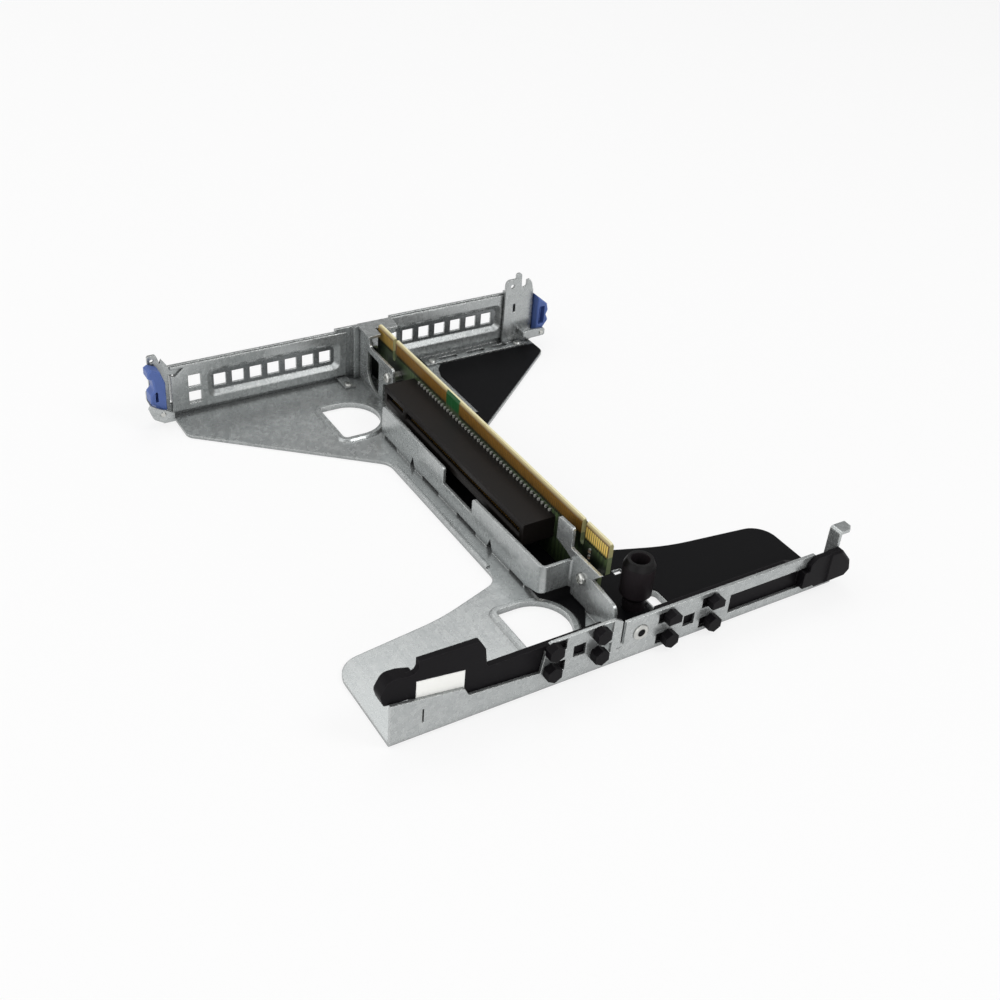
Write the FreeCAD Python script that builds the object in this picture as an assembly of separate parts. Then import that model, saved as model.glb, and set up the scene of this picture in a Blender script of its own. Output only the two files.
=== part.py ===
import FreeCAD, Part
import math
import os

# Two-slot riser cage for a rack server. A circuit board stands on edge in a folded steel cage and carries
# one card slot on each face. A rear frame closes the cards' bracket ends, with a blanking plate and a blue
# latch on each side, and two moulded holders are pegged through the front flange.
#
# Sizes are in millimetres. While modelling, x runs right from the board's left face, y runs back from the
# board's front end and z up from the plate's underside. The finished solids are then moved so that the
# origin lies under the middle of the assembly.
ORIGIN_X = -3.65
ORIGIN_Y = 66.525

# Sheet metal
SHEET = 1.0
BEND_OUT = 1.0
BEND_IN = 0.4
RIM_WIDTH = 2.1
RIM_HEIGHT = 0.9
RIM_CHAMFER = 0.65

# Base plate seen from above: (x, y, corner radius)
MIRROR_X = -3.4
FRONT_Y = -20.2
REAR_Y = 151.2
WAIST_X = -20.2
PLATE = [
    (-78.6, FRONT_Y), (71.5, FRONT_Y), (71.5, 11.7, 8.0), (36.4, 16.0, 70.0), (13.4, 24.0, 5.5),
    (13.4, 94.0, 6.0), (69.0, 139.0, 4.0), (69.0, REAR_Y), (-73.6, REAR_Y), (-73.6, 137.0, 4.0),
    (WAIST_X, 94.0, 6.0), (WAIST_X, 24.6, 5.5), (-43.2, 17.0, 70.0), (-78.6, 12.6, 8.0),
]
FRONT_D = (-28.5, -10.5, -9.0, 12.0)
REAR_D = (-27.5, -10.0, 112.5, 133.5)
POST_HOLE = (14.2, 18.8, -14.5, -0.8)
D_CORNER = 1.5
POST_RIM = 1.1
CABLE_SLIT = (13.4, 16.4, 11.3, 13.2)
HEM_WIDTH = 1.5
HEM_HEIGHT = 0.9
HEM_CHAMFER = 0.4
HEM_Y = (31.2, 90.8)

# Wall beside the left slot, with the step that brings it in to the board
WALL_X = -14.5
STRIP_X = -4.5
STEP_Y = 10.5
WALL_END_Y = 110.7
WALL_TOP = 12.5
WALL = [
    (WALL_END_Y, 0), (WALL_END_Y, WALL_TOP, 1.5), (68.4, WALL_TOP, 1.0), (68.4, 7.0), (50.3, 7.0),
    (50.3, WALL_TOP, 1.0), (8.0, WALL_TOP + 0.9), (8.0, 4.0), (STEP_Y, 4.0), (18.4, 1.9), (18.6, 0),
]
WALL_SLITS = [(19.2, 27.0), (46.9, 58.8), (70.7, 81.6), (99.7, 108.6)]
SLIT_TOP = 1.9
WALL_DARTS = [38.7, 88.5]
DART_HALF = 1.7
DART_TOP = 5.0

# Upright strips that hold the board: (y, z, corner radius)
FRONT_STRIP = [
    (9.4, 1.9), (1.4, 1.9), (1.4, 0.5), (-11.8, 0.5), (-11.8, 11.7, 2.5), (0.3, 13.1), (-3.4, 16.9),
    (11.4, 16.9), (11.5, 23.7, 0.8), (19.1, 23.4, 0.8), (18.9, 15.7), (13.4, 14.6, 0.8), (9.4, 13.0),
]
REAR_STRIP = [
    (148.6, 0.5), (148.6, 21.5), (141.0, 21.5), (141.0, 17.3, 1.5), (122.8, 17.3, 1.5), (122.8, 11.0, 1.5),
    (130.2, 8.2, 2.0), (130.2, 0.5),
]
REAR_STRIP_HOLE = [(133.4, 1.9), (142.6, 1.9, 7.0), (142.6, 15.2, 1.0), (133.4, 14.8, 1.0)]

# Front flange seen from the front: (x, z, corner radius)
FLANGE = [
    (-78.6, 0), (71.5, 0), (71.5, 12.0), (62.8, 12.0), (62.8, 14.1, 1.2), (-6.9, 14.1), (-6.9, 6.2),
    (-8.7, 4.9), (-9.4, 5.7), (-8.2, 6.7), (-8.2, 14.9), (-10.6, 16.4, 1.2), (-32.6, 16.4, 2.0),
    (-34.1, 6.9), (-56.0, 8.4, 1.0), (-57.4, 11.2), (-78.6, 14.2),
]
FLANGE_WINDOW = (30.4, 62.4, 3.5, 10.2)
FLANGE_SLIT = (-69.5, -69.0, 4.8, 9.4)
FLANGE_SQUARES = [(-24.0, -20.0, 8.3, 12.3), (13.7, 17.7, 4.6, 8.6)]
HOOK_X = 70.5
HOOK_DEPTH = 4.2
HOOK_TOP = 19.5
HOOK_TAB = 5.5
HOOK_CHAMFER = 1.5

# Six-sided pegs through the flange: the slot runs on beside each peg, so that the holder can slide and lock
PEG_R = 1.6
PEG_HEAD_R = 2.5
PEG_OUT = 2.7
PEG_GAP = 0.15
PEG_FLAT = 1.0
PEG_SLOT_HALF = 1.8
LEFT_SLOT_RUN = 3.0
RIGHT_SLOT_RUN = -2.0
LEFT_PEGS = [(-31.2, 14.2), (-31.2, 7.0), (-16.0, 14.2), (-16.0, 7.0)]
RIGHT_PEGS = [(8.3, 10.9), (8.3, 3.7), (23.7, 10.9), (23.7, 3.7)]

# Card holders, pressed flat to the flange's inner face: (x, z, corner radius)
HOLDER_Y = -19.0
HOLDER_T = 1.8
LEFT_HOLDER = [
    (-72.0, 4.6), (-13.8, 4.6), (-13.8, 14.9), (-50.4, 14.9, 1.2), (-51.2, 21.4), (-53.0, 24.5, 1.0),
    (-70.4, 24.9), (-70.4, 21.0, 2.0), (-74.4, 21.0), (-76.0, 15.4), (-72.0, 15.4),
]
LEFT_CAP = [
    (-71.2, 13.2), (-71.2, 20.2), (-75.0, 21.4, 1.2), (-78.8, 21.6, 3.0), (-81.0, 17.4, 2.6),
    (-80.0, 13.9, 1.0),
]
CAP_DEPTH = 4.6
CAP_CHAMFER = 0.7
LABEL = [(-71.0, 12.4), (-57.0, 10.2), (-57.0, 16.6), (-71.0, 18.5)]
LABEL_T = 0.12
RIGHT_BAR = [(4.6, 2.0), (61.6, 2.0), (61.6, 10.4), (52.0, 13.4), (4.6, 13.4)]
RIGHT_NECK = (57.5, 61.4, 4.1, 9.8)
NECK_IN = 0.6
RIGHT_BRIDGE = [(59.4, 6.2), (62.4, 3.4), (67.4, 3.4), (67.4, 14.2), (61.6, 14.2), (59.4, 12.0)]
RIGHT_CAP = [
    (66.2, 3.4), (74.2, 3.6, 1.5), (76.4, 5.8, 1.5), (75.6, 9.2, 2.0), (71.2, 14.4, 2.0), (66.2, 14.6, 1.0),
]
RIGHT_CAP_Y = -22.7
RIGHT_CAP_DEPTH = 2.3
RIGHT_CAP_WRAP = 72.0

# Circuit board, standing on edge
BOARD_T = 1.6
BOARD_LONG = 143.3
BOARD_TOP = 24.5
BOARD_FOOT = 2.0
KEY_DEPTH = 8.3
BEVEL_FALL = 1.3
BEVEL_IN = 0.45
BOARD = [
    (0, BOARD_TOP, 0.8), (0, 13.2, 0.8), (3.3, 12.6), (3.3, BOARD_FOOT), (147.8, BOARD_FOOT),
    (147.8, 13.6, 0.8), (BOARD_LONG, 14.6, 0.8), (BOARD_LONG, BOARD_TOP, 0.8),
]
BOARD_KEYS = [(11.65, 13.5), (129.75, 131.6)]
FINGER_PITCH = 1.0
FINGER_WIDTH = 0.7
FINGER_Z = (18.6, 23.2)
FINGER_T = 0.05
FINGER_RUNS = [(0.9, 11), (14.2, 71), (94.1, 35), (132.3, 11)]

# Card slots: the left one is modelled, the right one is mirrored through the board and sits lower on it
SLOT_DEPTH = 11.25
SLOT_Y = (26.6, 115.6)
SLOT_HALF = 3.75
SLOT_Z = 13.3
RIGHT_SLOT_DROP = 6.1
SLOT_EDGE = 0.6
SLOT_WELL = 8.4
SLOT_LIP = 1.25
WELL_HALF = 1.45
MOUTH_HALF = 0.95
MOUTH_FLARE = 1.7
SLOT_BAYS = [(28.3, 100.4), (102.2, 113.9)]
CONTACT_RUNS = [(28.9, 71), (102.8, 11)]
CONTACT_WIDTH = 0.5
CONTACT_T = 0.35
CONTACT_X = (-9.6, -3.1)
TAIL_FIRST = 29.6
TAIL_COUNT = 42
TAIL_PITCH = 2.0
TAIL = (0.6, 0.7, 0.8)
CHIPS = [(8.3, 16.6), (8.3, 14.4), (119.3, 10.4), (121.5, 10.4)]
CHIP = (0.45, 0.8, 1.3)

# Screws that hold the board to the strips: (y, z)
SCREWS = [(4.8, 10.5), (126.3, 12.6)]
SCREW_R = 0.95
SCREW_END = 1.3
SCREW_HEAD_R = 1.9
SCREW_HEAD = 1.3
SCREW_CHAMFER = 0.6
SCREW_HOLE_R = 1.0
STANDOFF_R = 1.7

# Rear frame seen from the front: (x, z, corner radius)
FRAME_Y = 151.3
FRAME = [
    (-75.0, 0), (69.4, 0), (69.4, 3.6), (73.0, 3.6, 1.2), (73.0, 8.0, 1.2), (69.4, 8.8), (69.4, 22.1),
    (8.5, 22.1), (8.5, 21.0), (-13.0, 21.0), (-13.0, 19.9), (-74.0, 19.9), (-76.0, 22.9), (-76.7, 21.6),
    (-77.8, 25.0, 0.8), (-80.8, 25.0, 0.8), (-80.8, 12.6), (-82.0, 11.6), (-82.0, 8.6), (-80.4, 4.4, 1.2),
    (-78.4, 2.4),
]
FRAME_WINDOWS = [(-69.0, -10.0, 4.4, 17.2), (5.2, 57.4, 6.0, 19.2)]
EAR_HOLE = (-79.3, 23.0, 0.7)
CHANNEL_X = (-6.5, 8.5)
CHANNEL_Y = 148.8
CHANNEL_FOOT = 1.2
CHANNEL_SIDE_TOP = 21.0
CAP_TOP = 22.6
CAP = [
    (-5.2, 149.8), (-5.8, 138.8), (-0.7, 139.6), (-0.7, 144.4), (2.4, 144.4), (2.4, 142.6), (7.4, 142.6),
    (8.4, 149.8),
]
CAP_FLAP = [(2.4, 22.1), (5.4, 22.1), (9.1, 19.4, 0.8), (8.2, 17.8, 0.8), (2.4, 17.8)]
CAP_FLAP_Y = 146.6
CASTLE_Y = 149.0
CASTLE = [
    (56.6, 1.2), (69.4, 1.2), (69.0, 21.6), (68.2, 25.6), (67.1, 27.2), (65.9, 27.0), (65.9, 24.3, 1.1),
    (63.6, 24.3, 1.1), (63.3, 30.4, 0.9), (61.1, 30.4, 0.9), (61.1, 28.2), (56.6, 28.2, 2.0),
]
CASTLE_HOLE = (59.6, 25.4, 0.9)
CASTLE_SLOT = (60.4, 61.4, 14.6, 18.0)
CASTLE_SHELF = (57.2, 69.0, 21.9)
FOOT_T = 0.8
RIGHT_FOOT = (22.0, 66.0, 145.6)
RIGHT_FOOT_SLOTS = [(28.5, 36.0), (40.5, 48.0), (52.0, 58.0)]
RIGHT_FOOT_SLOT_Y = (147.2, 149.0)
LEFT_FOOT = (-12.8, -8.8, 142.8)

# Latch cups at the frame's ends: front cheek outlines (x, z, corner radius) and the web behind each cheek
CHEEK_Y = 144.4
LEFT_CHEEK = [
    (-75.0, 2.8), (-75.0, 5.8), (-77.6, 7.4), (-79.6, 8.2), (-82.8, 10.4), (-83.6, 9.0, 0.6),
    (-82.2, 5.0, 2.0), (-79.6, 3.4), (-77.8, 2.8),
]
RIGHT_CHEEK = [(63.0, 7.4), (64.6, 4.4), (72.9, 4.6, 0.9), (72.9, 7.6, 0.9), (67.0, 7.9)]
LEFT_WEB = (-79.0, -75.0, 2.8, 3.6)
RIGHT_WEB = (63.2, 64.2, 5.2, 7.4)

# Latches: outline seen from the front (x, z, corner radius), hinged on a pin along y
LATCH_Y = 145.8
LATCH_DEEP = 5.0
LATCH_EDGE = 0.4
LEFT_LATCH = [
    (-78.4, 21.4), (-81.4, 22.8, 0.9), (-82.6, 22.0), (-82.6, 19.6), (-81.3, 19.0), (-80.7, 15.0, 1.2),
    (-82.2, 13.4), (-82.2, 10.0), (-80.8, 9.0), (-80.8, 4.3, 1.85), (-77.0, 4.3, 1.85), (-76.9, 17.0, 1.5),
]
RIGHT_LATCH = [
    (69.8, 20.6), (74.0, 17.1), (74.7, 14.2, 1.0), (73.9, 12.4), (75.0, 10.0, 1.0), (72.9, 7.2),
    (72.9, 4.4, 1.5), (69.8, 4.4, 1.5),
]
LEFT_POCKET = (-80.6, -79.6, 10.4, 14.2)
RIGHT_POCKET = (70.4, 73.0, 8.9, 16.4)
POCKET_DEEP = 2.6
POCKET_CORNER = 0.45
LEFT_PIN = (-78.9, 6.2)
RIGHT_PIN = (71.35, 6.0)
PIN_R = 0.9
PIN_CHAMFER = 0.2
PIN_SEAT_R = 0.92
PIN_RUN_R = 0.96
PIN_Y = (144.1, 152.6)

# Blanking plates
FILLER_T = 0.8
FILLER_DISH = 1.3
DISH_SLOPE = 1.8
DISH_CORNER = 2.4
VENT = (4.4, 4.6)
LEFT_FILLER = (-73.6, -9.0, 2.4, 19.6)
LEFT_DISH = (-60.9, -11.4, 5.3, 16.3)
LEFT_VENTS = [-56.1 + 6.55 * i for i in range(7)]
LEFT_VENT_Z = 10.8
END_VENTS = [(-65.5, 13.1), (-65.5, 6.7)]
FILLER_NOTCH = [(-74.2, 18.7), (-69.0, 18.7), (-72.1, 15.8), (-74.2, 16.6)]
RIGHT_FILLER = (3.8, 66.5, 3.7, 21.7)
RIGHT_DISH = (6.4, 55.9, 7.2, 18.0)
RIGHT_VENTS = [9.9 + 6.72 * i for i in range(7)]
RIGHT_VENT_Z = 12.6
EAR_OUT = 4.8
EAR_INSET = 3.6
EAR_CLEAR = 0.6

# Post, films, rivets and eyelet
POST = (9.6, -2.9)
POST_PROFILE = [
    (0, SHEET), (3.4, SHEET), (3.4, 4.8), (4.8, 6.6), (4.8, 16.4), (3.9, 18.4), (2.9, 18.4), (2.9, 3.0),
    (0, 3.0),
]
FILM_T = 0.3
FILM_GAP = 0.3
FRONT_FILM = [
    (71.2, -15.4), (71.2, 11.4, 7.7), (36.4, 15.7, 70.0), (16.0, 22.8), (11.7, 27.0), (11.7, 108.0),
    (-13.2, 108.0), (-13.2, -4.4), (-8.3, -4.4), (-4.8, 0.6), (-4.8, 1.7), (-2.9, 1.7), (-2.9, -17.6),
    (69.0, -17.6), (69.0, -15.4),
]
FILM_POST_R = 3.5
REAR_FILM = [
    (15.0, 96.0), (68.7, 139.2, 3.8), (68.7, 145.2), (27.4, 145.2), (25.2, 142.6), (23.4, 137.4),
    (23.4, 109.6), (15.0, 109.6),
]
RIVETS = [(25.0, 147.4), (62.4, 147.2), (-10.8, 144.4)]
RIVET_R = 0.9
RIVET_HEAD_R = 1.5
RIVET_HEAD = 0.7
RIVET_CHAMFER = 0.4
EYELET = (-1.5, 8.7)
EYELET_BORE = 1.1
EYELET_R = 1.6
EYELET_RING_R = 2.5
EYELET_RING = 0.5
EYELET_CHAMFER = 0.25
FIT = 0.02

V = FreeCAD.Vector
NORMAL = {"xy": V(0, 0, 1), "xz": V(0, 1, 0), "yz": V(1, 0, 0)}


def at(plane, u, v, w):
    """The point (u, v) of a plane, w along its normal."""
    if plane == "xy":
        return V(u, v, w)
    if plane == "xz":
        return V(u, w, v)
    return V(w, u, v)


def closed_wire(corners, plane, w):
    """Closed outline through its corners, with a tangent arc at each corner that has a radius."""
    spans = []
    for i, corner in enumerate(corners):
        here = V(corner[0], corner[1], 0)
        back = V(corners[i - 1][0], corners[i - 1][1], 0) - here
        on = V(corners[(i + 1) % len(corners)][0], corners[(i + 1) % len(corners)][1], 0) - here
        radius = corner[2] if len(corner) == 3 else 0
        if radius == 0:
            spans.append((here, here, here))
            continue
        half = back.getAngle(on) / 2
        back.normalize()
        on.normalize()
        bisector = (back + on).normalize()
        reach = radius / math.tan(half)
        middle = here + bisector * (radius / math.sin(half) - radius)
        spans.append((here + back * reach, middle, here + on * reach))
    edges = []
    for i, (start, middle, end) in enumerate(spans):
        first, halfway, last = [at(plane, p.x, p.y, w) for p in (start, middle, end)]
        following = at(plane, spans[(i + 1) % len(spans)][0].x, spans[(i + 1) % len(spans)][0].y, w)
        if (last - first).Length > 1e-6:
            edges.append(Part.Arc(first, halfway, last).toShape())
        if (following - last).Length > 1e-6:
            edges.append(Part.makeLine(last, following))
    return Part.Wire(edges)


def slab(corners, plane, start, thickness):
    """An outline given thickness along its plane's normal."""
    return Part.Face(closed_wire(corners, plane, start)).extrude(NORMAL[plane] * thickness)


def rectangle(bounds, radius=0, grow=0):
    """Corners of a rectangle (u0, u1, v0, v1), with one radius and an optional margin."""
    u0, u1, v0, v1 = bounds
    return [
        (u0 - grow, v0 - grow, radius), (u1 + grow, v0 - grow, radius),
        (u1 + grow, v1 + grow, radius), (u0 - grow, v1 + grow, radius),
    ]


def block(x0, x1, y0, y1, z0, z1):
    """Plain box between two corners."""
    return Part.makeBox(x1 - x0, y1 - y0, z1 - z0, V(x0, y0, z0))


def rod(plane, u, v, radius, start, length):
    """Round bar along a plane's normal."""
    return Part.makeCylinder(radius, length, at(plane, u, v, start), NORMAL[plane])


def joined(shapes):
    """One solid from shapes that meet."""
    return shapes[0].multiFuse(shapes[1:]).removeSplitter()


def mirrored(bounds):
    """The same rectangle on the other side of the plate."""
    u0, u1, v0, v1 = bounds
    return (2 * MIRROR_X - u1, 2 * MIRROR_X - u0, v0, v1)


def edges_at(shape, axis, value):
    """Edges that lie wholly in the plane where one coordinate has a value."""
    found = []
    for edge in shape.Edges:
        if all(abs(point[axis] - value) < 1e-4 for point in edge.discretize(5)):
            found.append(edge)
    return found


def d_outline(bounds, round_left, grow=0):
    """D-shaped hole: one flat side, the other a half circle."""
    u0, u1, v0, v1 = bounds
    bow = (v1 - v0) / 2 + grow - 0.01
    left, right = (bow, D_CORNER + grow) if round_left else (D_CORNER + grow, bow)
    return [
        (u0 - grow, v0 - grow, left), (u1 + grow, v0 - grow, right),
        (u1 + grow, v1 + grow, right), (u0 - grow, v1 + grow, left),
    ]


def rimmed_hole(inside, outside):
    """Rolled rim round a plate hole, and the hole's own cutter."""
    rim = slab(outside, "xy", SHEET / 2, SHEET / 2 + RIM_HEIGHT)
    rim = rim.makeChamfer(RIM_CHAMFER, edges_at(rim, 2, SHEET + RIM_HEIGHT))
    return rim, slab(inside, "xy", -SHEET, 4 * SHEET)


def base_plate():
    """Butterfly-shaped sheet with rimmed holes and hemmed waist."""
    plate = slab(PLATE, "xy", 0, SHEET)
    holes = [(FRONT_D, False), (REAR_D, False), (mirrored(REAR_D), True)]
    rims = []
    cutters = []
    for bounds, round_left in holes:
        rim, cutter = rimmed_hole(d_outline(bounds, round_left), d_outline(bounds, round_left, RIM_WIDTH))
        rims.append(rim)
        cutters.append(cutter)
    outside = rectangle(POST_HOLE, D_CORNER + POST_RIM, POST_RIM)
    rim, cutter = rimmed_hole(rectangle(POST_HOLE, D_CORNER), outside)
    rims.append(rim)
    cutters.append(cutter)
    cutters.append(slab(rectangle(CABLE_SLIT), "xy", -SHEET, 3 * SHEET))
    hem = block(WAIST_X, WAIST_X + HEM_WIDTH, HEM_Y[0], HEM_Y[1], SHEET / 2, SHEET + HEM_HEIGHT)
    hem = hem.makeChamfer(HEM_CHAMFER, edges_at(hem, 2, SHEET + HEM_HEIGHT))
    hems = [hem, hem.mirror(V(MIRROR_X, 0, 0), V(1, 0, 0))]
    for x, y in RIVETS:
        cutters.append(rod("xy", x, y, RIVET_R + FIT, -SHEET, 3 * SHEET))
    return joined([plate] + rims + hems).cut(Part.makeCompound(cutters))


def peg_slot(x, z, run):
    """Slot that a peg passes through, run on to one side."""
    low, high = min(x, x + run), max(x, x + run)
    bounds = (low - PEG_SLOT_HALF, high + PEG_SLOT_HALF, z - PEG_SLOT_HALF, z + PEG_SLOT_HALF)
    return slab(rectangle(bounds), "xz", FRONT_Y - SHEET, 3 * SHEET)


def front_flange():
    """Flange folded up along the plate's front edge, ending in a hook on the right."""
    sheet = slab(FLANGE, "xz", FRONT_Y, SHEET)
    cutters = []
    for opening in [FLANGE_WINDOW, FLANGE_SLIT] + FLANGE_SQUARES:
        cutters.append(slab(rectangle(opening), "xz", FRONT_Y - SHEET, 3 * SHEET))
    cutters.append(rod("xz", EYELET[0], EYELET[1], EYELET_R + FIT, FRONT_Y - SHEET, 3 * SHEET))
    cutters.append(fold_waste())
    hook_end = FRONT_Y + HOOK_DEPTH
    hook = block(HOOK_X, HOOK_X + SHEET, FRONT_Y, hook_end, 0, HOOK_TOP)
    tab_end = HOOK_X + HOOK_TAB
    tab = slab([
        (HOOK_X, FRONT_Y), (tab_end - HOOK_CHAMFER, FRONT_Y), (tab_end, FRONT_Y + HOOK_CHAMFER),
        (tab_end, hook_end), (HOOK_X, hook_end),
    ], "xy", HOOK_TOP - SHEET, SHEET)
    crest = block(HOOK_X, HOOK_X + SHEET, FRONT_Y, hook_end, HOOK_TOP - SHEET, HOOK_TOP)
    crest = crest.cut(rod("xz", HOOK_X + SHEET, HOOK_TOP - SHEET, SHEET, FRONT_Y, HOOK_DEPTH))
    return joined([sheet, hook, tab]).cut(Part.makeCompound(cutters + [crest]))


def fold_waste():
    """What the outside of the front fold is rounded by."""
    length = FLANGE[1][0] - FLANGE[0][0]
    corner = block(FLANGE[0][0], FLANGE[1][0], FRONT_Y, FRONT_Y + BEND_OUT, 0, BEND_OUT)
    return corner.cut(rod("yz", FRONT_Y + BEND_OUT, BEND_OUT, BEND_OUT, FLANGE[0][0], length))


def fold_fillet():
    """What fills the inside of the front fold."""
    inner = FRONT_Y + SHEET
    length = FLANGE[1][0] - FLANGE[0][0]
    corner = block(FLANGE[0][0], FLANGE[1][0], inner, inner + BEND_IN, SHEET, SHEET + BEND_IN)
    return corner.cut(rod("yz", inner + BEND_IN, SHEET + BEND_IN, BEND_IN, FLANGE[0][0], length))


def slot_wall():
    """Wall folded up beside the left slot, with its step, and the slits and darts along its fold."""
    inner = WALL_X + SHEET
    path = [
        (WALL_X, WALL_END_Y), (WALL_X, STEP_Y, 2.0), (STRIP_X, STEP_Y, 1.0), (STRIP_X, 9.4),
        (STRIP_X + SHEET, 9.4), (STRIP_X + SHEET, STEP_Y + SHEET, 2.0), (inner, STEP_Y + SHEET, 1.0),
        (inner, WALL_END_Y),
    ]
    wall = slab(path, "xy", 0, BOARD_TOP).common(slab(WALL, "yz", WALL_X - SHEET, 12 * SHEET))
    waste = [block(WALL_X - SHEET, inner + SHEET, y0, y1, SHEET, SLIT_TOP) for y0, y1 in WALL_SLITS]
    for y in WALL_DARTS:
        dart = [(y - DART_HALF, SHEET), (y + DART_HALF, SHEET), (y, DART_TOP)]
        waste.append(slab(dart, "yz", WALL_X - SHEET, 3 * SHEET))
    return wall.cut(Part.makeCompound(waste))


def cage():
    """The folded sheet that everything else is fixed to."""
    front = slab(FRONT_STRIP, "yz", STRIP_X, SHEET)
    rear = slab(REAR_STRIP, "yz", STRIP_X, SHEET)
    rear = rear.cut(slab(REAR_STRIP_HOLE, "yz", STRIP_X - SHEET, 3 * SHEET))
    waste = [rod("yz", y, z, SCREW_HOLE_R, STRIP_X - SHEET, 3 * SHEET) for y, z in SCREWS]
    for x, z in LEFT_PEGS:
        waste.append(peg_slot(x, z, LEFT_SLOT_RUN))
    for x, z in RIGHT_PEGS:
        waste.append(peg_slot(x, z, RIGHT_SLOT_RUN))
    plate = base_plate().cut(fold_waste())
    body = joined([plate, front_flange(), fold_fillet(), slot_wall(), front, rear])
    return body.cut(Part.makeCompound(waste))


def latch_cup(cheek, web, web_end, pin):
    """Front cheek of one latch, the web that carries it, and the bore for the pin."""
    x0, x1, z0, z1 = web
    plate = slab(cheek, "xz", CHEEK_Y, SHEET)
    bore = rod("xz", pin[0], pin[1], PIN_SEAT_R, CHEEK_Y - SHEET, 12 * SHEET)
    return [plate, block(x0, x1, CHEEK_Y, web_end, z0, z1)], bore


def foot(x0, x1, y0):
    """Foot strip of the rear frame, lying on the plate."""
    return slab(rectangle((x0, x1, y0, FRAME_Y + SHEET / 2)), "xy", SHEET, FOOT_T)


def rear_frame():
    """Rear wall with card windows, centre channel, castellated right end and latch cups."""
    inside = FRAME_Y + SHEET / 2
    left, right = CHANNEL_X
    pieces = [slab(FRAME, "xz", FRAME_Y, SHEET)]
    pieces.append(block(left, right, CHANNEL_Y, CHANNEL_Y + SHEET, CHANNEL_FOOT, CAP_TOP - SHEET / 2))
    pieces.append(block(left, left + SHEET, CHANNEL_Y, inside, CHANNEL_FOOT, CHANNEL_SIDE_TOP))
    pieces.append(slab(CAP, "xy", CAP_TOP - SHEET, SHEET))
    pieces.append(slab(CAP_FLAP, "xz", CAP_FLAP_Y, SHEET))
    pieces.append(slab(CASTLE, "xz", CASTLE_Y, SHEET))
    shelf_x0, shelf_x1, shelf_z = CASTLE_SHELF
    pieces.append(block(shelf_x0, shelf_x1, CASTLE_Y, FRAME_Y + SHEET, shelf_z, shelf_z + SHEET))
    pieces.append(foot(*RIGHT_FOOT))
    pieces.append(foot(*LEFT_FOOT))
    left_cup, left_bore = latch_cup(LEFT_CHEEK, LEFT_WEB, inside, LEFT_PIN)
    right_cup, right_bore = latch_cup(RIGHT_CHEEK, RIGHT_WEB, CASTLE_Y + SHEET / 2, RIGHT_PIN)
    cutters = [left_bore, right_bore]
    for window in FRAME_WINDOWS:
        cutters.append(slab(rectangle(window), "xz", FRAME_Y - SHEET / 4, 2 * SHEET))
    for ear in (filler_ear(LEFT_FILLER, True), filler_ear(RIGHT_FILLER, False)):
        cutters.append(slab(rectangle(ear, 0, EAR_CLEAR), "xz", FRAME_Y - SHEET / 4, 2 * SHEET))
    cutters.append(rod("xz", EAR_HOLE[0], EAR_HOLE[1], EAR_HOLE[2], FRAME_Y - SHEET, 3 * SHEET))
    cutters.append(rod("xz", CASTLE_HOLE[0], CASTLE_HOLE[1], CASTLE_HOLE[2], CASTLE_Y - SHEET, 3 * SHEET))
    cutters.append(slab(rectangle(CASTLE_SLOT), "xz", CASTLE_Y - SHEET, 2 * SHEET + SHEET / 4))
    for x0, x1 in RIGHT_FOOT_SLOTS:
        bounds = (x0, x1, RIGHT_FOOT_SLOT_Y[0], RIGHT_FOOT_SLOT_Y[1])
        cutters.append(slab(rectangle(bounds), "xy", SHEET - FOOT_T, 4 * FOOT_T))
    for x, y in RIVETS:
        cutters.append(rod("xy", x, y, RIVET_R + FIT, SHEET / 2, 2 * SHEET))
    return joined(pieces + left_cup + right_cup).cut(Part.makeCompound(cutters))


def filler_ear(bounds, on_left):
    """Where a blanking plate's bent ear passes the rear wall: (x0, x1, z0, z1)."""
    x0, x1, z0, z1 = bounds
    if on_left:
        return (x0, x0 + FILLER_T, z0 + EAR_INSET, z1 - EAR_INSET)
    return (x1 - FILLER_T, x1, z0 + EAR_INSET, z1 - EAR_INSET)


def filler(bounds, dish, vents, on_left):
    """Blanking plate with a dished panel of square vents and a bent ear at its outer end."""
    face = FRAME_Y - FILLER_T
    sheet = slab(rectangle(bounds), "xz", face, FILLER_T)
    rim = rectangle(dish, DISH_CORNER)
    floor = rectangle(dish, DISH_CORNER - DISH_SLOPE / 2, -DISH_SLOPE)
    back = FRAME_Y + FILLER_DISH
    swell = [closed_wire(rim, "xz", FRAME_Y - FILLER_T / 2), closed_wire(floor, "xz", back)]
    hollow = [closed_wire(rim, "xz", face - FIT), closed_wire(floor, "xz", face + FILLER_DISH)]
    x0, x1, z0, z1 = filler_ear(bounds, on_left)
    ear = block(x0, x1, face, FRAME_Y + EAR_OUT, z0, z1)
    body = joined([sheet, Part.makeLoft(swell, True, True), ear])
    body = body.cut(Part.makeLoft(hollow, True, True))
    width, height = VENT
    cutters = []
    for x, z in vents:
        vent = (x - width / 2, x + width / 2, z - height / 2, z + height / 2)
        cutters.append(slab(rectangle(vent), "xz", face - SHEET, 5 * SHEET))
    if on_left:
        cutters.append(slab(FILLER_NOTCH, "xz", face - SHEET, 2 * SHEET))
    return body.cut(Part.makeCompound(cutters))


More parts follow.
